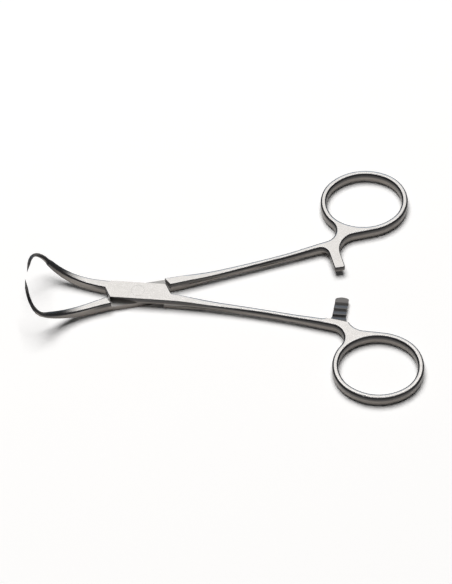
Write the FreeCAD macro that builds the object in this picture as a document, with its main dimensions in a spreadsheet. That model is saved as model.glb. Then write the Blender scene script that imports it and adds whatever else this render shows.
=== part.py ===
import FreeCAD, Part
import os
from math import cos, pi, radians, sin

import Sketcher

# Ring-handled towel clamp, lying open on its lap joint and rings.
# X runs along the clamp from the points (minus) to the finger rings (plus), Z is up along the
# rivet, and the origin is on the rivet's axis in the flat underside of the lap joint.
# Each arm is drawn closed, in line with X, and is then turned about the rivet to where it rests.

doc = FreeCAD.newDocument("TowelClamp")

SIZES = {
    # overall stance
    "rest_opening": (15.0, "angle between the arms as the clamp lies, degrees"),
    # lap joint
    "lap_thickness": (4.8, "both halves of the joint together"),
    "lap_gap": (0.06, "running gap between the two lapped faces"),
    "lap_half_width": (3.3, "flank of the joint from the long axis"),
    "cheek_half_width": (4.2, "flank of the under arm's half on its shank side"),
    "cheek_start": (-5.5, "where that wider flank begins"),
    "shoulder_lean": (30.0, "lean of the shoulders from square, degrees"),
    "upper_shoulder": (9.95, "rivet axis to the shoulders beside the upper half"),
    "lower_shoulder": (9.35, "rivet axis to the shoulders beside the lower half"),
    "shoulder_gap": (0.4, "shoulder to the end of the half that it faces, closed"),
    "flank_fillet": (1.4, "plan fillet where a half runs into its shank"),
    # rivet
    "rivet_diameter": (3.0, "shank of the rivet"),
    "rivet_head_diameter": (4.2, "countersunk head, dressed flush"),
    "rivet_head_depth": (0.6, "depth of each countersink"),
    "rivet_clearance": (0.03, "radial running clearance in the over arm"),
    "head_relief": (0.04, "gap under the over arm's countersunk head"),
    # shanks
    "shank_start": (12.5, "where the shank leaves the joint"),
    "inner_start": (0.45, "inner edge of the shank from the long axis at its start"),
    "inner_heading": (6.07, "heading of that edge from there to the ratchet bar, degrees"),
    "inner_edge_radius": (1200.0, "bow of the inner edge"),
    "outer_edge_radius": (387.0, "bow of the outer edge"),
    "shank_thickness": (3.1, "thinnest stretch of the shank, measured upright"),
    "taper_end": (30.0, "where the shank has thinned down"),
    "swell_before_ratchet": (18.0, "ratchet bars back to where the shank thickens again"),
    "swell_length": (14.0, "length over which it does"),
    # finger rings
    "ring_beyond_ratchet": (13.8, "ratchet bars to the middle of the finger rings"),
    "ring_aside": (22.55, "middle of a finger ring from the long axis, closed"),
    "ring_half_length": (15.05, "outer half length of a finger ring"),
    "ring_half_width": (12.9, "outer half width of a finger ring"),
    "ring_end_radius": (11.9, "outer radius of the two ends of the oval"),
    "ring_wall": (2.08, "ring section seen from above"),
    "ring_thickness": (4.2, "ring section measured upright"),
    "ring_tilt": (3.8, "lean of the ring's long axis towards the rivet, degrees"),
    "ring_lead_heading": (2.5, "heading of the straight from the ratchet bar to the ring, degrees"),
    "web_fillet": (4.6, "web between the shank and its ring"),
    # rounding of the edges
    "lap_rounding": (0.3, "edges of the joint"),
    "ring_rounding": (0.85, "edges of the rings and the shanks"),
    "bar_rounding": (0.4, "edges of the ratchet bars"),
    # ratchets
    "ratchet_along": (68.1, "middle of both ratchet bars from the rivet, on the long axis"),
    "bar_lean": (5.5, "lean of the bars, their ends away from the rivet, degrees"),
    "bar_width": (3.6, "bar of the under arm, the plain one on top"),
    "bar_reach": (3.2, "how far that bar passes the long axis, closed"),
    "bar_end_bow": (30.0, "bow of its end"),
    "rack_width": (4.5, "bar of the over arm, with its teeth upward"),
    "rack_reach": (3.5, "how far that bar passes the long axis, closed"),
    "rack_end_bow": (4.6, "bow of its end"),
    "bar_corner": (0.6, "corners at the end of a bar"),
    "bar_fillet_rivet_side": (3.0, "plan fillet at a bar's root, rivet side"),
    "bar_fillet_ring_side": (6.4, "plan fillet at a bar's root, ring side"),
    "bar_root_inset": (1.5, "from the bar's middle to where the inner edge ends in it"),
    "bar_root_depth": (0.5, "how deep a bar's root sits in the shank"),
    "step_aside": (0.1, "from that end of the inner edge to the step where a bar thins"),
    "step_heading": (9.4, "heading of that step, degrees"),
    "ratchet_gap": (0.1, "gap between the crests of the two bars"),
    "tooth_pitch": (2.42, "step from one tooth to the next"),
    "tooth_depth": (0.55, "depth of a tooth"),
    "tooth_face_run": (0.4, "how far the holding face of a tooth leans"),
    "tooth_land": (0.3, "flat left on the crest of a tooth"),
    "tooth_count": (3.0, "teeth on each bar"),
    "ratchet_tip_land": (1.4, "plain end of a bar before its first tooth"),
    # jaws
    "jaw_start": (8.6, "first section, inside the joint"),
    "jaw_root_aside": (1.65, "middle of that section from the long axis"),
    "jaw_root_heading": (5.5, "outward heading of the jaw as it leaves the joint, degrees"),
    "flare_radius": (115.0, "outward bow of the jaw"),
    "flare_heading": (17.5, "heading at the end of the bow, degrees"),
    "jaw_straight": (1.7, "straight stretch before the hook"),
    "hook_radius": (6.8, "hook, along its middle line"),
    "hook_turn": (105.5, "turn of the hook, degrees"),
    "point_length": (3.4, "straight, tapering point"),
    "point_pass": (1.6, "middle lines of the two points as they pass each other"),
    "bend_start": (16.0, "where the jaws begin to curve upward"),
    "bend_radius": (21.0, "radius of that upward curve"),
    "jaw_root_width": (3.1, "first section, sideways"),
    "jaw_root_height": (4.7, "first section, upright"),
    "jaw_root_rounding": (0.4, "first section, its corners"),
    "jaw_mid_width": (2.4, "middle of the bow, sideways"),
    "jaw_mid_height": (3.9, "middle of the bow, upright"),
    "jaw_mid_rounding": (0.7, "middle of the bow, its corners"),
    "jaw_neck_width": (1.95, "end of the bow, sideways"),
    "jaw_neck_height": (2.3, "end of the bow, upright"),
    "hook_start_width": (1.65, "thickness where the hook starts"),
    "hook_mid_width": (1.18, "thickness in the middle of the hook"),
    "hook_end_width": (1.02, "thickness where the point starts"),
    "point_end_width": (0.14, "thickness at the very end"),
    "round_share": (0.46, "corner of a round section as a share of its thickness"),
    # cuts
    "overrun": (1.0, "how far a cut runs past the faces that it opens"),
}

# ---- the sizes as a sheet that the outlines, plates and places below are tied to
sheet = doc.addObject("Spreadsheet::Sheet", "Sizes")
for row, (name, (value, note)) in enumerate(SIZES.items(), start=1):
    sheet.set("A%d" % row, name)
    sheet.set("B%d" % row, str(value))
    sheet.set("C%d" % row, note)
    sheet.setAlias("B%d" % row, name)
doc.recompute()


def size(expression):
    """Value of an expression written with the names in the sheet."""
    value = sheet.evalExpression(expression)
    return getattr(value, "Value", value)


def linked(expression):
    """The same expression as another object of the document has to write it."""
    words = []
    word = ""
    for letter in expression + " ":
        if letter.isalnum() or letter == "_":
            word += letter
            continue
        words.append("Sizes." + word if word in SIZES else word)
        words.append(letter)
        word = ""
    return "".join(words).strip()


PLAN = FreeCAD.Rotation()
ELEVATION = FreeCAD.Rotation(FreeCAD.Vector(1, 0, 0), 90)
END_VIEW = FreeCAD.Rotation(FreeCAD.Vector(1, 1, 1), 120)

# ---- places that follow from the sizes
LAPPED_FACE = "(lap_thickness - lap_gap) / 2"
TOOTHED_FACE = "(lap_thickness + ratchet_gap) / 2"
SWELL_START = "(ratchet_along - swell_before_ratchet)"
SWELL_END = "(%s + swell_length)" % SWELL_START
RING_ALONG = "(ratchet_along + ring_beyond_ratchet)"
# the oval is drawn with four arcs that run into each other: two end arcs, two flatter side arcs
RING_END_OFFSET = "(ring_half_length - ring_end_radius)"
RING_SIDE_RADIUS = (
    "((%s ^ 2 + ring_half_width ^ 2 - ring_end_radius ^ 2)"
    " / (2 * (ring_half_width - ring_end_radius)))") % RING_END_OFFSET
RING_SIDE_OFFSET = "(%s - ring_half_width)" % RING_SIDE_RADIUS
# where the straight edge from the ratchet bar runs into the oval
TOUCH_ALONG = "(%s + %s * sin(ring_tilt) + %s * sin(ring_lead_heading))" % (
    RING_ALONG, RING_SIDE_OFFSET, RING_SIDE_RADIUS)
TOUCH_ASIDE = "(ring_aside + %s * cos(ring_tilt) - %s * cos(ring_lead_heading))" % (
    RING_SIDE_OFFSET, RING_SIDE_RADIUS)
# where the shank's inner edge ends inside the ratchet bar
ROOT_ALONG = "(ratchet_along - bar_root_inset)"
ROOT_ASIDE = "(inner_start + (%s - shank_start) * tan(inner_heading))" % ROOT_ALONG


def close_outline(outline, corners):
    """Edges and sizes of a sketch: corners are (x, y, radius) expressions, the radius being that
    of the arc which leaves the corner (positive bows to the left of the way, negative to the
    right) or None for a straight edge."""
    places = [FreeCAD.Vector(size(x), size(y), 0) for x, y, bow in corners]
    for i, (x, y, bow) in enumerate(corners):
        start = places[i]
        end = places[(i + 1) % len(corners)]
        if bow is None:
            outline.addGeometry(Part.LineSegment(start, end))
            continue
        radius = abs(size(bow))
        side = 1 if size(bow) > 0 else -1
        chord = end - start
        rise = radius - (radius ** 2 - chord.Length ** 2 / 4) ** 0.5
        out = FreeCAD.Vector(-chord.y, chord.x, 0).normalize() * (rise * side)
        outline.addGeometry(Part.Arc(start, (start + end) * 0.5 + out, end))
    ends = []
    for i, (x, y, bow) in enumerate(corners):
        forward = bow is None or size(bow) < 0
        ends.append((1, 2) if forward else (2, 1))
    for i, (x, y, bow) in enumerate(corners):
        j = (i + 1) % len(corners)
        outline.addConstraint(Sketcher.Constraint("Coincident", i, ends[i][1], j, ends[j][0]))
    for i, (x, y, bow) in enumerate(corners):
        for kind, place in (("DistanceX", x), ("DistanceY", y)):
            number = outline.addConstraint(Sketcher.Constraint(kind, i, ends[i][0], size(place)))
            outline.setExpression("Constraints[%d]" % number, linked(place))
        if bow is not None:
            number = outline.addConstraint(Sketcher.Constraint("Radius", i, abs(size(bow))))
            outline.setExpression("Constraints[%d]" % number, linked("abs(%s)" % bow))


def sketch(name, corners, view=PLAN):
    """Closed outline in one of the three views."""
    outline = doc.addObject("Sketcher::SketchObject", name)
    outline.Placement = FreeCAD.Placement(FreeCAD.Vector(), view)
    close_outline(outline, corners)
    return outline


def slab(outline, low, high):
    """Upright plate over an outline, from height low to height high."""
    plate = doc.addObject("Part::Extrusion", outline.Name + "_plate")
    plate.Base = outline
    plate.DirMode = "Custom"
    plate.Dir = FreeCAD.Vector(0, 0, 1)
    plate.Solid = True
    plate.LengthFwd = size("(%s) - (%s)" % (high, low))
    plate.setExpression("LengthFwd", linked("(%s) - (%s)" % (high, low)))
    plate.setExpression("Placement.Base.z", linked(low))
    return plate


def fused(name, pieces):
    """One solid out of several that overlap."""
    joined = doc.addObject("Part::MultiFuse", name)
    joined.Shapes = pieces
    joined.Refine = True
    return joined


def less(name, base, tool):
    """A solid with another one taken out of it."""
    rest = doc.addObject("Part::Cut", name)
    rest.Base = base
    rest.Tool = tool
    rest.Refine = True
    return rest


def rounded(name, base, edges):
    """Fillets on numbered edges, each with the radius at its two ends."""
    doc.recompute()
    fillet = doc.addObject("Part::Fillet", name)
    fillet.Base = base
    fillet.Edges = edges
    return fillet


def ring_slab(name, inset, low, high):
    """Oval plate in the place of the finger ring, its edge drawn in by the inset."""
    spread = "(%s - ring_end_radius)" % RING_SIDE_RADIUS
    along = "(%s * (%s - %s) / %s)" % (RING_END_OFFSET, RING_SIDE_RADIUS, inset, spread)
    aside = "(%s * (ring_end_radius - %s) / %s)" % (RING_SIDE_OFFSET, inset, spread)
    end_arc = "-(ring_end_radius - %s)" % inset
    side_arc = "-(%s - %s)" % (RING_SIDE_RADIUS, inset)
    oval = sketch(name, [
        (along, "-" + aside, end_arc),
        (along, aside, side_arc),
        ("-" + along, aside, end_arc),
        ("-" + along, "-" + aside, side_arc),
    ])
    oval.Placement.Rotation = FreeCAD.Rotation(FreeCAD.Vector(0, 0, -1), 1)
    oval.setExpression("Placement.Rotation.Angle", linked("ring_tilt"))
    oval.setExpression("Placement.Base.x", linked(RING_ALONG))
    oval.setExpression("Placement.Base.y", linked("ring_aside"))
    doc.recompute()
    return slab(oval, low, high)


def plan_corners(shape):
    """Upright edges of a plate: number, place, and whether the corner is hollow, sharp or flat."""
    probe = size("lap_thickness / 100")
    spots = 24
    flat = spots / 2
    corners = []
    for number, edge in enumerate(shape.Edges, start=1):
        middle = edge.valueAt((edge.FirstParameter + edge.LastParameter) / 2)
        along = edge.tangentAt(edge.FirstParameter)
        if abs(along.z) < max(abs(along.x), abs(along.y)):
            continue
        inside = 0
        for spot in range(spots):
            angle = 2 * pi * (spot + 0.5) / spots
            around = middle + FreeCAD.Vector(probe * cos(angle), probe * sin(angle), 0)
            if shape.isInside(around, shape.Faces[0].Tolerance, True):
                inside += 1
        if abs(inside - flat) < 2:
            kind = "flat"
        else:
            kind = "hollow" if inside > flat else "sharp"
        corners.append((number, middle.x, middle.y, kind))
    return corners


def upright_face(face):
    """Whether a face stands upright."""
    low_u, high_u, low_v, high_v = face.ParameterRange
    return abs(face.normalAt((low_u + high_u) / 2, (low_v + high_v) / 2).z) < 0.3


def rim_edges(shape, rounding):
    """Edges between an upright and a level face, each with the radii at its two ends."""
    faces_of = {}
    for face in shape.Faces:
        for edge in face.Edges:
            faces_of.setdefault(edge.hashCode(), []).append(face)
    rims = []
    for number, edge in enumerate(shape.Edges, start=1):
        sides = [upright_face(face) for face in faces_of[edge.hashCode()]]
        if sorted(sides) != [False, True]:
            continue
        first, last = edge.Vertexes[0].Point, edge.Vertexes[-1].Point
        middle = edge.valueAt((edge.FirstParameter + edge.LastParameter) / 2)
        radii = rounding(first, middle, last)
        if radii:
            rims.append((number,) + radii)
    return rims


def across(outline, direction, back, forth):
    """Block over an upright outline, reaching back from it and forth along the direction."""
    block = doc.addObject("Part::Extrusion", outline.Name + "_block")
    block.Base = outline
    block.DirMode = "Custom"
    block.Dir = direction
    block.Solid = True
    block.setExpression("LengthRev", linked(back))
    block.setExpression("LengthFwd", linked(forth))
    return block


def thinning(name, side):
    """What is taken off above (side 1) or below (side -1) the shank and the ring."""
    def height(expression):
        return "lap_thickness / 2 + %d * (%s)" % (side, expression)

    def bow(start, end, thick, thin):
        """Radius of the two arcs that lead from one thickness to another."""
        return "%d * ((%s - %s) ^ 2 + (%s - %s) ^ 2) / (%s - %s) / 4" % (
            side, end, start, thick, thin, thick, thin)

    full = "lap_thickness / 2"
    thin = "shank_thickness / 2"
    ring = "ring_thickness / 2"
    clear = "lap_thickness / 2 + overrun"
    taper = bow("shank_start", "taper_end", full, thin)
    swell = bow(SWELL_START, SWELL_END, ring, thin)
    beyond = "%s + 2 * ring_half_length" % RING_ALONG
    outline = sketch(name, [
        ("shank_start", height(full), taper),
        ("(shank_start + taper_end) / 2", height("(%s + %s) / 2" % (full, thin)), "-(%s)" % taper),
        ("taper_end", height(thin), None),
        (SWELL_START, height(thin), "-(%s)" % swell),
        ("(%s + %s) / 2" % (SWELL_START, SWELL_END), height("(%s + %s) / 2" % (thin, ring)), swell),
        (SWELL_END, height(ring), None),
        (beyond, height(ring), None),
        (beyond, height(clear), None),
        ("shank_start", height(clear), None),
    ], ELEVATION)
    return across(outline, FreeCAD.Vector(0, 1, 0), "lap_half_width * 2",
                  "ring_aside + 2 * ring_half_width")


def forged_outline(name, end_distance):
    """Half joint, shank and oval of one arm in plan, with the web between shank and oval."""
    lean = "cos(shoulder_lean)"
    slope = "sin(shoulder_lean)"
    free_outer = "(((%s) - lap_half_width * %s) / %s)" % (end_distance, slope, lean)
    free_inner = "(((%s) + inner_start * %s) / %s)" % (end_distance, slope, lean)
    joint = sketch(name + "_joint", [
        (free_outer, "-lap_half_width", None),
        (free_inner, "inner_start", None),
        ("shank_start", "inner_start", None),
        ("shank_start", "lap_half_width", None),
        ("-" + free_outer, "lap_half_width", None),
        ("-" + free_inner, "-inner_start", None),
        ("-(%s + jaw_root_rounding)" % free_outer, "-lap_half_width", None),
    ])
    shank = sketch(name + "_shank", [
        ("shank_start", "inner_start", "-inner_edge_radius"),
        (ROOT_ALONG, ROOT_ASIDE, None),
        (TOUCH_ALONG, TOUCH_ASIDE, None),
        (TOUCH_ALONG, "%s + ring_wall" % TOUCH_ASIDE, "outer_edge_radius"),
        ("shank_start", "lap_half_width", None),
    ])
    blank = fused(name + "_blank", [
        slab(joint, "0", "lap_thickness"),
        slab(shank, "0", "lap_thickness"),
        ring_slab(name + "_oval", "0", "0", "lap_thickness"),
    ])
    doc.recompute()
    corners = []
    for number, along, aside, kind in plan_corners(blank.Shape):
        if kind != "hollow" or along < 0:
            continue
        radius = size("flank_fillet" if along < size("shank_start") else "web_fillet")
        corners.append((number, radius, radius))
    return rounded(name + "_outline", blank, corners)


def with_ratchet_bar(name, outline, bar_width, bar_reach, end_bow):
    """The same with its ratchet bar, which runs into shank and ring in two wide fillets."""
    def beside(side, aside):
        return "ratchet_along + %s * %s / 2 - (%s) * tan(bar_lean)" % (side, bar_width, aside)

    reach = "-" + bar_reach
    root = "(%s + bar_root_depth)" % ROOT_ASIDE
    deep_root = "(%s + 3 * bar_root_depth)" % ROOT_ASIDE
    bar = sketch(name + "_bar", [
        (beside("-1", reach), reach, "-" + end_bow),
        (beside("1", reach), reach, None),
        (beside("1", deep_root), deep_root, None),
        (beside("-1", root), root, None),
    ])
    joined = fused(name + "_with_bar", [outline, slab(bar, "0", "lap_thickness")])
    # between bar and ring the edge lies further out than the shank's inner edge
    below = "-(ring_aside + %s)" % bar_reach
    corner = ("((%s - (%s - ratchet_along - %s / 2) * tan(ring_lead_heading))"
              " / (1 + tan(bar_lean) * tan(ring_lead_heading)))") % (
        TOUCH_ASIDE, TOUCH_ALONG, bar_width)
    beyond = "(%s + 2 * ring_half_length)" % RING_ALONG
    lead = sketch(name + "_ring_side", [
        (beside("1", below), below, None),
        (beyond, below, None),
        (beyond, "%s + (%s - %s) * tan(ring_lead_heading)" % (
            TOUCH_ASIDE, beyond, TOUCH_ALONG), None),
        (beside("1", corner), corner, None),
    ])
    trimmed = less(name + "_trimmed", joined, slab(lead, "-overrun", "lap_thickness + overrun"))
    doc.recompute()
    corners = []
    for number, along, aside, kind in plan_corners(trimmed.Shape):
        if abs(along - size("ratchet_along")) > size(bar_width):
            continue
        radius = None
        if kind == "hollow":
            rivet_side = along < size("ratchet_along")
            radius = size("bar_fillet_rivet_side" if rivet_side else "bar_fillet_ring_side")
        elif kind == "sharp" and aside < 0:
            radius = size("bar_corner")
        if radius:
            corners.append((number, radius, radius))
    return rounded(name + "_with_bar_fillets", trimmed, corners)


def handle(name, end_distance, bar_width, bar_reach, end_bow):
    """Half joint, shank, finger ring and ratchet bar of one arm, closed."""
    outline = forged_outline(name, end_distance)
    outline = with_ratchet_bar(name, outline, bar_width, bar_reach, end_bow)
    hole = ring_slab(name + "_hole", "ring_wall", "-overrun", "lap_thickness + overrun")
    opened = less(name + "_opened", outline, hole)
    thinned = less(name + "_thinned", opened, fused(name + "_thinning", [
        thinning(name + "_above", 1),
        thinning(name + "_below", -1),
    ]))
    doc.recompute()

    def rounding_at(point):
        beside_bar = abs(point.x - size("ratchet_along")) < size(bar_width)
        if beside_bar and point.y < size(ROOT_ASIDE + " - step_aside"):
            return size("bar_rounding")
        share = (point.x - size("shank_start")) / size("taper_end - shank_start")
        share = min(max(share, 0), 1)
        return size("lap_rounding") + share * size("ring_rounding - lap_rounding")

    def rounding(first, middle, last):
        if middle.x < 0 and middle.y < 0:
            return None
        return rounding_at(first), rounding_at(last)

    return rounded(name + "_rims", thinned, rim_edges(thinned.Shape, rounding))


def below_bar(name, bar_width, bar_reach):
    """Room for the other arm's ratchet bar: all below the toothed face from the step on."""
    left = "(ratchet_along - %s - 2 * bar_fillet_rivet_side)" % bar_width
    right = "(ratchet_along + %s + bar_fillet_ring_side)" % bar_width

    def step(along):
        return "%s - step_aside + (%s - %s) * tan(step_heading)" % (ROOT_ASIDE, along, ROOT_ALONG)

    end = "-(2 * %s)" % bar_reach
    return slab(sketch(name, [
        (left, end, None),
        (right, end, None),
        (right, step(right), None),
        (left, step(left), None),
    ]), "-overrun", TOOTHED_FACE)


def jaw_path(run, straight):
    """Place and heading after a run along the flattened jaw: (along, aside, radians)."""
    start = radians(size("jaw_root_heading"))
    end = radians(size("flare_heading"))
    flare = size("flare_radius")
    hook = size("hook_radius")
    along = size("jaw_start")
    aside = size("jaw_root_aside")
    step = min(run, flare * (end - start))
    heading = start + step / flare
    along += flare * (sin(heading) - sin(start))
    aside += flare * (cos(start) - cos(heading))
    run -= step
    step = min(run, straight)
    along += step * cos(heading)
    aside += step * sin(heading)
    run -= step
    step = min(run, hook * radians(size("hook_turn")))
    turned = heading - step / hook
    along += hook * (sin(heading) - sin(turned))
    aside += hook * (cos(turned) - cos(heading))
    run -= step
    return along + run * cos(turned), aside + run * sin(turned), turned


def jaw_section(run, straight, width, height, rounding, bend):
    """Rounded outline square to the jaw, after the sheet it lies in has been curved upward."""
    along, aside, heading = jaw_path(run, straight)
    radius = size("bend_radius")
    lift = max(along - size("bend_start"), 0) / radius
    flat = min(along, size("bend_start"))
    middle = FreeCAD.Vector(
        -flat - radius * sin(lift),
        -aside,
        size("lap_thickness / 2") + bend * radius * (1 - cos(lift)))
    forward = FreeCAD.Vector(-cos(lift), 0, bend * sin(lift)) * cos(heading)
    forward += FreeCAD.Vector(0, -1, 0) * sin(heading)
    up = FreeCAD.Vector(sin(lift), 0, bend * cos(lift))
    aside_way = up.cross(forward)
    corner = FreeCAD.Vector(width / 2, height / 2, 0)
    inner = FreeCAD.Vector(corner.x - rounding, corner.y - rounding, 0)
    diagonal = rounding * cos(pi / 4)
    edges = []
    previous = None
    for turn in range(4):
        quarter = FreeCAD.Rotation(FreeCAD.Vector(0, 0, 1), 90 * turn)
        reach = inner if turn % 2 == 0 else FreeCAD.Vector(inner.y, inner.x, 0)
        places = [
            reach + FreeCAD.Vector(rounding, 0, 0),
            reach + FreeCAD.Vector(diagonal, diagonal, 0),
            reach + FreeCAD.Vector(0, rounding, 0),
        ]
        spots = []
        for place in places:
            spot = quarter.multVec(place)
            spots.append(middle + aside_way * spot.x + up * spot.y)
        if previous:
            edges.append(Part.makeLine(previous, spots[0]))
        edges.append(Part.Arc(*spots).toShape())
        previous = spots[2]
    edges.append(Part.makeLine(previous, edges[0].Vertexes[0].Point))
    return Part.Wire(edges)


# sections that the loft passes through, from each station of the jaw towards the next
SECTION_SHARES = (0, 0.25, 0.5, 0.75)


def jaw(name, bend, longer):
    """Tapering jaw, hook and point; its straight is longer or shorter than the other's."""
    straight = size("jaw_straight") + longer * size("point_pass / 2")
    bow = size("flare_radius") * radians(size("flare_heading - jaw_root_heading"))
    hook_start = bow + straight
    hook_run = size("hook_radius") * radians(size("hook_turn"))
    point_start = hook_start + hook_run
    stations = []
    for run, place in [(0, "jaw_root"), (bow / 2, "jaw_mid")]:
        stations.append((run, size(place + "_width"), size(place + "_height"),
                         size(place + "_rounding")))
    stations.append((bow, size("jaw_neck_width"), size("jaw_neck_height"),
                     size("jaw_neck_width * round_share")))
    for run, width in [
        (hook_start, "hook_start_width"),
        (hook_start + hook_run / 2, "hook_mid_width"),
        (point_start, "hook_end_width"),
        (point_start + size("point_length"), "point_end_width"),
    ]:
        stations.append((run, size(width), size(width), size(width + " * round_share")))
    wires = []
    for here, following in zip(stations, stations[1:]):
        for share in SECTION_SHARES:
            run, width, height, rounding = [a + share * (b - a) for a, b in zip(here, following)]
            wires.append(jaw_section(run, straight, width, height, rounding, bend))
    run, width, height, rounding = stations[-1]
    wires.append(jaw_section(run, straight, width, height, rounding, bend))
    loft = doc.addObject("Part::Feature", name)
    loft.Shape = Part.makeLoft(wires, True, True)
    return loft


def recess(name, distance):
    """Room for the other arm's half: all above the lapped face between the two shoulders."""
    aside = "3 * lap_half_width"
    near = "(((%s) - %s * sin(shoulder_lean)) / cos(shoulder_lean))" % (distance, aside)
    far = "(((%s) + %s * sin(shoulder_lean)) / cos(shoulder_lean))" % (distance, aside)
    return slab(sketch(name, [
        (near, aside, None),
        ("-" + far, aside, None),
        ("-" + near, "-" + aside, None),
        (far, "-" + aside, None),
    ]), LAPPED_FACE, "lap_thickness + overrun")


def teeth(name, bar_reach):
    """Grooves across the toothed face of a bar, steep on the side that holds."""
    grooves = []
    for number in range(int(size("tooth_count"))):
        start = "tooth_pitch * %d + ratchet_tip_land - %s" % (number, bar_reach)
        end = start + " + tooth_pitch - tooth_land"
        groove = sketch("%s_%d" % (name, number + 1), [
            (start, TOOTHED_FACE, None),
            (start, "lap_thickness / 2", None),
            (end, "lap_thickness / 2", None),
            (end, TOOTHED_FACE, None),
            (start + " + tooth_face_run", TOOTHED_FACE + " + tooth_depth", None),
        ], END_VIEW)
        grooves.append(across(groove, FreeCAD.Vector(1, 0, 0), "0", "2 * ratchet_along"))
    return fused(name, grooves)


def rivet_hole(name, clearance, relief):
    """Bore and countersink for the rivet in the half at the bottom."""
    bore = doc.addObject("Part::Cylinder", name + "_bore")
    bore.setExpression("Radius", linked("rivet_diameter / 2 + " + clearance))
    bore.setExpression("Height", linked("lap_thickness"))
    sink = doc.addObject("Part::Cone", name + "_sink")
    slant = "(rivet_head_diameter - rivet_diameter) / 2 / rivet_head_depth"
    sink.setExpression("Radius1", linked("rivet_head_diameter / 2 + %s * %s" % (relief, slant)))
    sink.setExpression("Radius2", linked("rivet_diameter / 2 + %s * %s" % (relief, slant)))
    sink.setExpression("Height", linked("rivet_head_depth"))
    return fused(name, [bore, sink])


def arm(name, own, facing, bar, clearance, relief, bend, cheek=None):
    """One forged arm, closed: its lapped half below, its ratchet bar on top."""
    bar_width, bar_reach, end_bow = bar
    solid = handle(name, facing + " - shoulder_gap", bar_width, bar_reach, end_bow)
    parts = [solid, jaw(name + "_jaw", bend, bend)]
    if cheek:
        parts.append(cheek)
    whole = fused(name + "_whole", parts)
    tools = [
        recess(name + "_recess", own),
        below_bar(name + "_below_bar", bar_width, bar_reach),
        teeth(name + "_teeth", bar_reach),
        rivet_hole(name + "_hole_for_rivet", clearance, relief),
    ]
    return less(name, whole, fused(name + "_tools", tools))


def cheek_plate():
    """The under arm's half is wider than the rest of the joint on its shank side."""
    plate = slab(sketch("under_arm_cheek", [
        ("cheek_start", "lap_half_width - 2 * lap_rounding", None),
        ("shank_start", "lap_half_width - 2 * lap_rounding", None),
        ("shank_start + flank_fillet", "lap_half_width", None),
        ("lower_shoulder", "cheek_half_width", None),
        ("cheek_start + 2 * (cheek_half_width - lap_half_width)", "cheek_half_width", None),
        ("cheek_start", "lap_half_width", None),
    ]), "0", LAPPED_FACE)
    doc.recompute()
    edges = []
    for number, edge in enumerate(plate.Shape.Edges, start=1):
        middle = edge.valueAt((edge.FirstParameter + edge.LastParameter) / 2)
        at_bottom = middle.z < size("lap_rounding")
        level = abs(edge.Vertexes[0].Z - edge.Vertexes[-1].Z) < size("lap_rounding")
        if at_bottom and level and middle.y > size("lap_half_width"):
            edges.append((number, size("lap_rounding"), size("lap_rounding")))
    return rounded("under_arm_cheek_rim", plate, edges)


def rivet_body():
    """Rivet turned about its axis, both countersunk heads dressed flush."""
    body = doc.addObject("PartDesign::Body", "rivet")
    outline = body.newObject("Sketcher::SketchObject", "rivet_outline")
    outline.AttachmentSupport = (body.Origin.OriginFeatures[4], [""])
    outline.MapMode = "FlatFace"
    corners = [
        ("0", "0"),
        ("rivet_head_diameter / 2", "0"),
        ("rivet_diameter / 2", "rivet_head_depth"),
        ("rivet_diameter / 2", "lap_thickness - rivet_head_depth"),
        ("rivet_head_diameter / 2", "lap_thickness"),
        ("0", "lap_thickness"),
    ]
    close_outline(outline, [(x, y, None) for x, y in corners])
    turned = body.newObject("PartDesign::Revolution", "rivet_turned")
    turned.Profile = outline
    turned.ReferenceAxis = (outline, ["V_Axis"])
    turned.Angle = 360
    body.Tip = turned
    return body


under_arm = arm("under_arm", "upper_shoulder", "lower_shoulder",
                ("bar_width", "bar_reach", "bar_end_bow"), "0", "0", 1, cheek_plate())
over_arm = arm("over_arm", "lower_shoulder", "upper_shoulder",
               ("rack_width", "rack_reach", "rack_end_bow"), "rivet_clearance", "head_relief", -1)
rivet = rivet_body()

# the over arm is the same forging turned upside down, and each arm then opens by half the angle
up = FreeCAD.Vector(0, 0, 1)
upside_down = FreeCAD.Rotation(FreeCAD.Vector(1, 0, 0), 180)
under_arm.Placement.Rotation = FreeCAD.Rotation(up, 1)
under_arm.setExpression("Placement.Rotation.Angle", linked("rest_opening / 2"))
rivet.Placement.Rotation = FreeCAD.Rotation(up, 1)
rivet.setExpression("Placement.Rotation.Angle", linked("rest_opening / 2"))
opened = FreeCAD.Rotation(up, -size("rest_opening / 2"))
over_arm.Placement = FreeCAD.Placement(up * size("lap_thickness"), opened * upside_down)
doc.recompute()

for thing in doc.Objects:
    if "Invalid" in thing.State or "Error" in thing.State:
        raise RuntimeError("%s did not build" % thing.Name)

os.makedirs("parts", exist_ok=True)
for piece in (over_arm, under_arm, rivet):
    solid = piece.Shape
    if solid.isNull() or not solid.isValid() or len(solid.Solids) != 1:
        raise RuntimeError("%s is not one sound solid" % piece.Label)
    solid.exportStep("parts/%s.step" % piece.Label)
    print(piece.Label, round(solid.Volume, 1), "mm3")
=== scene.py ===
from math import cos, radians, sin

import bpy
from mathutils import Matrix, Vector


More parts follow.
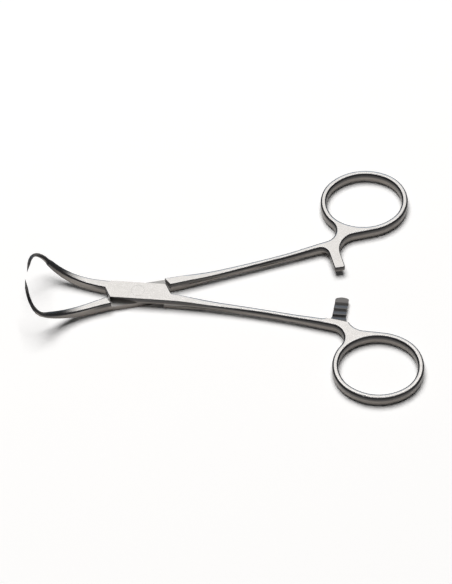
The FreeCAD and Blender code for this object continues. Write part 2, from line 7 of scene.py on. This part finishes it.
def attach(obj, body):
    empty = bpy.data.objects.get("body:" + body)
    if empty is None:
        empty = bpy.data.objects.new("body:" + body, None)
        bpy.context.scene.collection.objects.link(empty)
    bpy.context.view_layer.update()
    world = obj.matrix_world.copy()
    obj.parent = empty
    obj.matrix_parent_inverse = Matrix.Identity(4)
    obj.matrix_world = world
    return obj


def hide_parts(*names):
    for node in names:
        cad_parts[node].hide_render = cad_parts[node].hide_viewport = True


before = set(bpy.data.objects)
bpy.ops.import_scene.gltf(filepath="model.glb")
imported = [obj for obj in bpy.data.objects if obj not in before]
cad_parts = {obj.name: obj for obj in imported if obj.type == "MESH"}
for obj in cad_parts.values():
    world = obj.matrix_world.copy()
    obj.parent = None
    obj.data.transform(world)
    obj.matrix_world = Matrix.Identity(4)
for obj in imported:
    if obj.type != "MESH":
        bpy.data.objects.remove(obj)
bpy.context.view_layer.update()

# camera of the photograph: angles in degrees, lens and sensor in millimetres
VIEW_ELEVATION = 57.0
VIEW_AZIMUTH = 1.159
VIEW_ROLL = -3.567
AIM = Vector((0.02945, 0.00092, 0.0))
DISTANCE = 0.6852
LENS = 125.1
SENSOR = 36.0


def photo_camera():
    """Camera that sees the clamp as the photograph does."""
    elevation, azimuth = radians(VIEW_ELEVATION), radians(VIEW_AZIMUTH)
    back = Vector((sin(azimuth) * cos(elevation), -cos(azimuth) * cos(elevation), sin(elevation)))
    level = Vector((cos(azimuth), sin(azimuth), 0.0))
    right = Matrix.Rotation(radians(VIEW_ROLL), 3, back) @ level
    upward = back.cross(right)
    data = bpy.data.cameras.new("photo_camera")
    data.sensor_fit = "VERTICAL"
    data.sensor_height = SENSOR
    data.lens = LENS
    camera = bpy.data.objects.new("photo_camera", data)
    bpy.context.scene.collection.objects.link(camera)
    axes = Matrix((right, upward, back)).transposed().to_4x4()
    camera.matrix_world = Matrix.Translation(AIM + back * DISTANCE) @ axes
    bpy.context.scene.camera = camera


# short ways to write shader nodes: numbers of a Mix node's two inputs and its output
MIX_SOCKETS = {"FLOAT": (2, 3, 0), "RGBA": (6, 7, 2)}


def feed(tree, socket, value):
    """Link a socket to the output of another node, or give it a value of its own."""
    if isinstance(value, bpy.types.NodeSocket):
        tree.links.new(value, socket)
    else:
        socket.default_value = value


def math_node(tree, operation, *values):
    """Math node of one or two outputs or numbers."""
    node = tree.nodes.new("ShaderNodeMath")
    node.operation = operation
    for socket, value in zip(node.inputs, values):
        feed(tree, socket, value)
    return node.outputs[0]


def ramp_node(tree, value, start, end, low=0.0, high=1.0):
    """Smooth step that is low where the value is at start and high where it is at end."""
    node = tree.nodes.new("ShaderNodeMapRange")
    node.interpolation_type = "SMOOTHSTEP"
    feed(tree, node.inputs["Value"], value)
    feed(tree, node.inputs["From Min"], start)
    feed(tree, node.inputs["From Max"], end)
    feed(tree, node.inputs["To Min"], low)
    feed(tree, node.inputs["To Max"], high)
    return node.outputs["Result"]


def mix_node(tree, kind, share, first, second):
    """Mix of two colours or two numbers: the share is that of the second."""
    node = tree.nodes.new("ShaderNodeMix")
    node.data_type = kind
    first_socket, second_socket, result = MIX_SOCKETS[kind]
    feed(tree, node.inputs[0], share)
    feed(tree, node.inputs[first_socket], first)
    feed(tree, node.inputs[second_socket], second)
    return node.outputs[result]


def turned_node(tree, kind, value, turn):
    """Place or normal, turned by some degrees about Z."""
    node = tree.nodes.new("ShaderNodeMapping")
    node.vector_type = kind
    node.inputs["Rotation"].default_value = (0.0, 0.0, radians(turn))
    tree.links.new(value, node.inputs["Vector"])
    return node.outputs["Vector"]


def noise_node(tree, place, scale, detail):
    """Noise from 0 to 1 at a place."""
    node = tree.nodes.new("ShaderNodeTexNoise")
    tree.links.new(place, node.inputs["Vector"])
    node.inputs["Scale"].default_value = scale
    node.inputs["Detail"].default_value = detail
    return node.outputs["Fac"]


def new_group(name, coming, going):
    """Node group with its named inputs and outputs, and the nodes that stand for them."""
    group = bpy.data.node_groups.new(name, "ShaderNodeTree")
    for label, kind in coming:
        group.interface.new_socket(label, in_out="INPUT", socket_type="NodeSocket" + kind)
    for label, kind in going:
        group.interface.new_socket(label, in_out="OUTPUT", socket_type="NodeSocket" + kind)
    return group, group.nodes.new("NodeGroupInput"), group.nodes.new("NodeGroupOutput")


def placed_group(tree, group, **coming):
    """Outputs of a node group that is placed in a material."""
    node = tree.nodes.new("ShaderNodeGroup")
    node.node_tree = group
    for label, value in coming.items():
        tree.links.new(value, node.inputs[label])
    return node.outputs


# studio panels: place, width and height, watts, colour
HIGH_LAMP = ((-0.145, 0.675, 2.925), (1.72, 1.68), 89.0, (1.0, 0.99, 0.98))
MIRRORED_PANELS = {
    "card": ((0.03, 0.688, 0.983), (1.3, 0.87), 3.0, (1.0, 0.98, 0.955)),
    "front_card": ((0.3, -1.2, 0.5), (2.6, 0.8), 3.9, (1.0, 0.985, 0.965)),
    "edge_strip": ((0.03, 0.37, 1.14), (1.3, 0.1), 0.9, (1.0, 0.99, 0.98)),
    "low_strip": ((0.0, 1.1, 0.36), (2.4, 0.25), 2.2, (0.3, 0.6, 1.0)),
}
PANELS_AIM = Vector((0.03, 0.0, 0.0))
ROOM_COLOUR = (0.95, 0.97, 1.0, 1.0)
ROOM_STRENGTH = 0.02
ROOM_MIRRORED = 0.38


def panel(name, place, extent, watts, colour):
    """Soft rectangular lamp that faces the clamp."""
    light = bpy.data.lights.new(name, "AREA")
    light.shape = "RECTANGLE"
    light.size, light.size_y = extent
    light.energy = watts
    light.color = colour
    lamp = bpy.data.objects.new(name, light)
    bpy.context.scene.collection.objects.link(lamp)
    lamp.location = place
    lamp.rotation_euler = (Vector(place) - PANELS_AIM).to_track_quat("Z", "Y").to_euler()
    return lamp


def studio_light():
    """Lamps and room.

    The high lamp lights the table and casts the shadows, and steel doesn't mirror it. Steel
    mirrors the other panels, which light nothing else: the card from the photograph's side, the
    front card from behind, the strips along the near and far edges. The room is nearly dark,
    but steel mirrors it as grey.
    """
    panel("high_lamp", *HIGH_LAMP).visible_glossy = False
    for name, values in MIRRORED_PANELS.items():
        panel(name, *values).visible_diffuse = False
    room = bpy.data.worlds.new("room")
    bpy.context.scene.world = room
    room.use_nodes = True
    tree = room.node_tree
    background = tree.nodes["Background"]
    background.inputs["Color"].default_value = ROOM_COLOUR
    mirrored = tree.nodes.new("ShaderNodeLightPath").outputs["Is Glossy Ray"]
    strength = math_node(tree, "MULTIPLY", mirrored, ROOM_MIRRORED)
    strength = math_node(tree, "ADD", strength, ROOM_STRENGTH)
    tree.links.new(strength, background.inputs["Strength"])


# white table, just under the clamp; a ray that has left a dull surface is past SEEN_DEPTH
TABLE_SIZE = 6.0
TABLE_DROP = 0.0001
TABLE_WHITE = 0.85
TABLE_SEEN_WHITE = 1.12
SEEN_DEPTH = 0.5


def white_shader(tree, white):
    """Dull shader of a plain white."""
    shader = tree.nodes.new("ShaderNodeBsdfDiffuse")
    shader.inputs["Color"].default_value = (white, white, white, 1.0)
    return shader.outputs["BSDF"]


def table():
    """Table that is whiter to the eye and in reflections than in the light that it gives back."""
    bpy.ops.object.select_all(action="DESELECT")
    bpy.ops.mesh.primitive_plane_add(size=TABLE_SIZE, location=(0.0, 0.0, -TABLE_DROP))
    top = bpy.context.object
    top.name = "table"
    white = bpy.data.materials.new("table_white")
    white.use_nodes = True
    tree = white.node_tree
    tree.nodes.remove(tree.nodes["Principled BSDF"])
    rays = tree.nodes.new("ShaderNodeLightPath").outputs
    seen = math_node(tree, "ADD", rays["Is Glossy Ray"], rays["Is Transmission Ray"])
    seen = math_node(tree, "ADD", rays["Is Camera Ray"], seen)
    direct = math_node(tree, "LESS_THAN", rays["Diffuse Depth"], SEEN_DEPTH)
    seen = math_node(tree, "MULTIPLY", seen, direct)
    either = tree.nodes.new("ShaderNodeMixShader")
    tree.links.new(seen, either.inputs[0])
    tree.links.new(white_shader(tree, TABLE_WHITE), either.inputs[1])
    tree.links.new(white_shader(tree, TABLE_SEEN_WHITE), either.inputs[2])
    tree.links.new(either.outputs[0], tree.nodes["Material Output"].inputs["Surface"])
    top.data.materials.append(white)


# fine brushing of the steel
STREAK_SCALE = (500.0, 6000.0, 4000.0)
STREAK_DETAIL = 3.0
CLOUD_SCALE = 420.0
CLOUD_DETAIL = 2.0
CLOUD_SHARE = 0.35
TONE_BLEND = (0.3, 0.7)
RELIEF_STRENGTH = 0.06
RELIEF_DEPTH = 0.00002


def brushing_group():
    """Fine streaks along X over faint clouds: tone from 0 to 1, and a normal."""
    group, coming, going = new_group(
        "steel_brushing", [("Place", "Vector")], [("Tone", "Float"), ("Normal", "Vector")])
    place = coming.outputs["Place"]
    stretch = group.nodes.new("ShaderNodeMapping")
    stretch.inputs["Scale"].default_value = STREAK_SCALE
    group.links.new(place, stretch.inputs["Vector"])
    streaks = noise_node(group, stretch.outputs["Vector"], 1.0, STREAK_DETAIL)
    clouds = noise_node(group, place, CLOUD_SCALE, CLOUD_DETAIL)
    both = mix_node(group, "FLOAT", CLOUD_SHARE, streaks, clouds)
    group.links.new(ramp_node(group, both, *TONE_BLEND), going.inputs["Tone"])
    relief = group.nodes.new("ShaderNodeBump")
    relief.inputs["Strength"].default_value = RELIEF_STRENGTH
    relief.inputs["Distance"].default_value = RELIEF_DEPTH
    group.links.new(streaks, relief.inputs["Height"])
    group.links.new(relief.outputs["Normal"], going.inputs["Normal"])
    return group


# where a mask of milled faces or of painted shade starts and where it is full, along an arm from
# the rivet and in height
JAW_BLEND = (-0.012, -0.018)
HOOK_BLEND = (-0.018, -0.027)
RACK_START = 0.05
MID_HEIGHT = 0.0024
MILLED_REACH = 0.0008
# more painted shade in the flanks' upper half
UPPER_FLANK_BLEND = (MID_HEIGHT, 0.0035)
UPPER_FLANK_DARKNESS = 0.85

# the same by how level a face lies, from 1 when it is flat to 0 when it is a wall
FLANK_BLEND = (0.5, 0.2)
ROUNDED_BLEND = (0.975, 0.86)


def finish_and_shade_group():
    """Masks of flank, rounded edge, milled face, hook and teeth, from place and facing, for
    painted shade and the milled faces' own dullness.
    """
    group, coming, going = new_group(
        "steel_finish_and_shade", [("Place", "Vector"), ("Facing", "Vector")],
        [("Flank", "Float"), ("Rounded", "Float"), ("Milled_and_shaded", "Float"), ("Hook", "Float"),
         ("Toothed", "Float")])
    facing = group.nodes.new("ShaderNodeSeparateXYZ")
    group.links.new(coming.outputs["Facing"], facing.inputs[0])
    place = group.nodes.new("ShaderNodeSeparateXYZ")
    group.links.new(coming.outputs["Place"], place.inputs[0])
    along, height = place.outputs["X"], place.outputs["Z"]
    # the jaws curve upward, so there only the sideways lean tells a flank from a level face
    arm_level = math_node(group, "ABSOLUTE", facing.outputs["Z"])
    sideways = math_node(group, "MULTIPLY", facing.outputs["Y"], facing.outputs["Y"])
    jaw_level = math_node(group, "SQRT", math_node(group, "SUBTRACT", 1.0, sideways))
    in_jaw = ramp_node(group, along, *JAW_BLEND)
    level = mix_node(group, "FLOAT", in_jaw, arm_level, jaw_level)
    # the hook mask is where a near-black painted reflection goes on the raised hooks
    group.links.new(ramp_node(group, along, *HOOK_BLEND), going.inputs["Hook"])
    # flanks get painted shade: a dark colour for the shadowed table that they would mirror
    flank = ramp_node(group, level, *FLANK_BLEND)
    group.links.new(flank, going.inputs["Flank"])
    # rounded edges get a near-black painted reflection of the dark room
    off_level = ramp_node(group, level, *ROUNDED_BLEND)
    rounded = math_node(group, "SUBTRACT", off_level, flank)
    # from the joint to the rings the flanks get more painted shade in their upper half, a painted
    # dark reflection of the room
    upper = ramp_node(group, height, *UPPER_FLANK_BLEND, 0.0, UPPER_FLANK_DARKNESS)
    upper = math_node(group, "MULTIPLY", upper, flank)
    upper = math_node(group, "MULTIPLY", upper, math_node(group, "SUBTRACT", 1.0, in_jaw))
    rounded = math_node(group, "ADD", rounded, upper)
    group.links.new(rounded, going.inputs["Rounded"])
    # milled faces at mid height are duller and also get painted shade of the recesses they lie in
    off_middle = math_node(group, "SUBTRACT", height, MID_HEIGHT)
    off_middle = math_node(group, "ABSOLUTE", off_middle)
    in_middle = math_node(group, "LESS_THAN", off_middle, MILLED_REACH)
    on_face = math_node(group, "GREATER_THAN", level, FLANK_BLEND[0])
    off_jaw = math_node(group, "GREATER_THAN", along, JAW_BLEND[0])
    milled_and_shaded = math_node(group, "MULTIPLY", in_middle, on_face)
    milled_and_shaded = math_node(group, "MULTIPLY", milled_and_shaded, off_jaw)
    group.links.new(milled_and_shaded, going.inputs["Milled_and_shaded"])
    # the teeth are milled and get painted shade of the gaps between them
    on_rack = math_node(group, "GREATER_THAN", along, RACK_START)
    group.links.new(math_node(group, "MULTIPLY", milled_and_shaded, on_rack), going.inputs["Toothed"])
    return group


# steel: colours of the ground level faces and, by mask, of painted shade and of the milled faces;
# roughness
GROUND_DARK = (0.61, 0.592, 0.572, 1.0)
GROUND_LIGHT = (0.69, 0.672, 0.652, 1.0)
FINISH_AND_SHADE_COLOURS = {
    # Hook: painted dark reflection on the raised hooks
    "Hook": (0.065, 0.062, 0.06, 1.0),
    # Flank: painted shade, the dark mirror of the shadowed table; the higher roughness is the
    # walls' own
    "Flank": (0.22, 0.2, 0.182, 1.0),
    # Rounded: painted dark reflection along the rounded edges
    "Rounded": (0.036, 0.035, 0.036, 1.0),
    # Milled: duller milled faces with painted shade of their recesses
    "Milled_and_shaded": (0.4, 0.39, 0.375, 1.0),
    # Toothed: dull milled teeth with painted shade of their gaps
    "Toothed": (0.17, 0.163, 0.157, 1.0),
}
GROUND_ROUGHNESS = (0.2, 0.28)
FINISH_ROUGHNESS = {"Flank": 0.3, "Milled_and_shaded": 0.4}


def steel(name, brushing, finish_and_shade, turn):
    """Steel of one piece, whose place and facing are turned in line with X."""
    material = bpy.data.materials.new(name)
    material.use_nodes = True
    tree = material.node_tree
    shader = tree.nodes["Principled BSDF"]
    shader.inputs["Metallic"].default_value = 1.0
    surface = tree.nodes.new("ShaderNodeTexCoord").outputs
    place = turned_node(tree, "POINT", surface["Object"], turn)
    facing = turned_node(tree, "NORMAL", surface["Normal"], turn)
    brushed = placed_group(tree, brushing, Place=place)
    masks = placed_group(tree, finish_and_shade, Place=place, Facing=facing)
    colour = mix_node(tree, "RGBA", brushed["Tone"], GROUND_DARK, GROUND_LIGHT)
    # painted shade and painted dark reflections, with the milled faces' own dullness, go into the
    # colour by mask
    for mask, tint in FINISH_AND_SHADE_COLOURS.items():
        colour = mix_node(tree, "RGBA", masks[mask], colour, tint)
    tree.links.new(colour, shader.inputs["Base Color"])
    rough = ramp_node(tree, brushed["Tone"], 0.0, 1.0, *GROUND_ROUGHNESS)
    for mask, roughness in FINISH_ROUGHNESS.items():
        rough = mix_node(tree, "FLOAT", masks[mask], rough, roughness)
    tree.links.new(rough, shader.inputs["Roughness"])
    tree.links.new(brushed["Normal"], shader.inputs["Normal"])
    return material


# the arms: body of each, and the degrees about Z that turn it from rest in line with X
ARMS = {"over_arm": ("over", 7.5), "under_arm": ("under", -7.5)}
SMOOTHED_ANGLE = 24.0
SEAM = 0.000002
LEVEL_WEIGHT = 100


def polished_arm(node, body):
    """Copy of a CAD arm with its seams merged and its shallow creases smoothed."""
    bpy.ops.object.select_all(action="DESELECT")
    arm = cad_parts[node].copy()
    arm.data = arm.data.copy()
    arm.parent = None
    arm.name = node + "_polished"
    bpy.context.scene.collection.objects.link(arm)
    arm.select_set(True)
    bpy.context.view_layer.objects.active = arm
    bpy.ops.mesh.customdata_custom_splitnormals_clear()
    bpy.ops.object.mode_set(mode="EDIT")
    bpy.ops.mesh.select_all(action="SELECT")
    bpy.ops.mesh.remove_doubles(threshold=SEAM)
    bpy.ops.object.mode_set(mode="OBJECT")
    bpy.ops.object.shade_smooth_by_angle(angle=radians(SMOOTHED_ANGLE))
    weighting = arm.modifiers.new("level_faces", "WEIGHTED_NORMAL")
    weighting.keep_sharp = True
    weighting.weight = LEVEL_WEIGHT
    bpy.ops.object.modifier_apply(modifier=weighting.name)
    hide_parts(node)
    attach(arm, body)
    return arm


def dress(piece, material):
    """Give a piece one material all over."""
    piece.data.materials.clear()
    piece.data.materials.append(material)


photo_camera()
studio_light()
table()
brushing = brushing_group()
finish_and_shade = finish_and_shade_group()
for node, (body, turn) in ARMS.items():
    dress(polished_arm(node, body), steel(node + "_steel", brushing, finish_and_shade, turn))
rivet_turn = ARMS["under_arm"][1]
dress(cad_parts["rivet"], steel("rivet_steel", brushing, finish_and_shade, rivet_turn))

bpy.context.scene.view_settings.view_transform = "Standard"
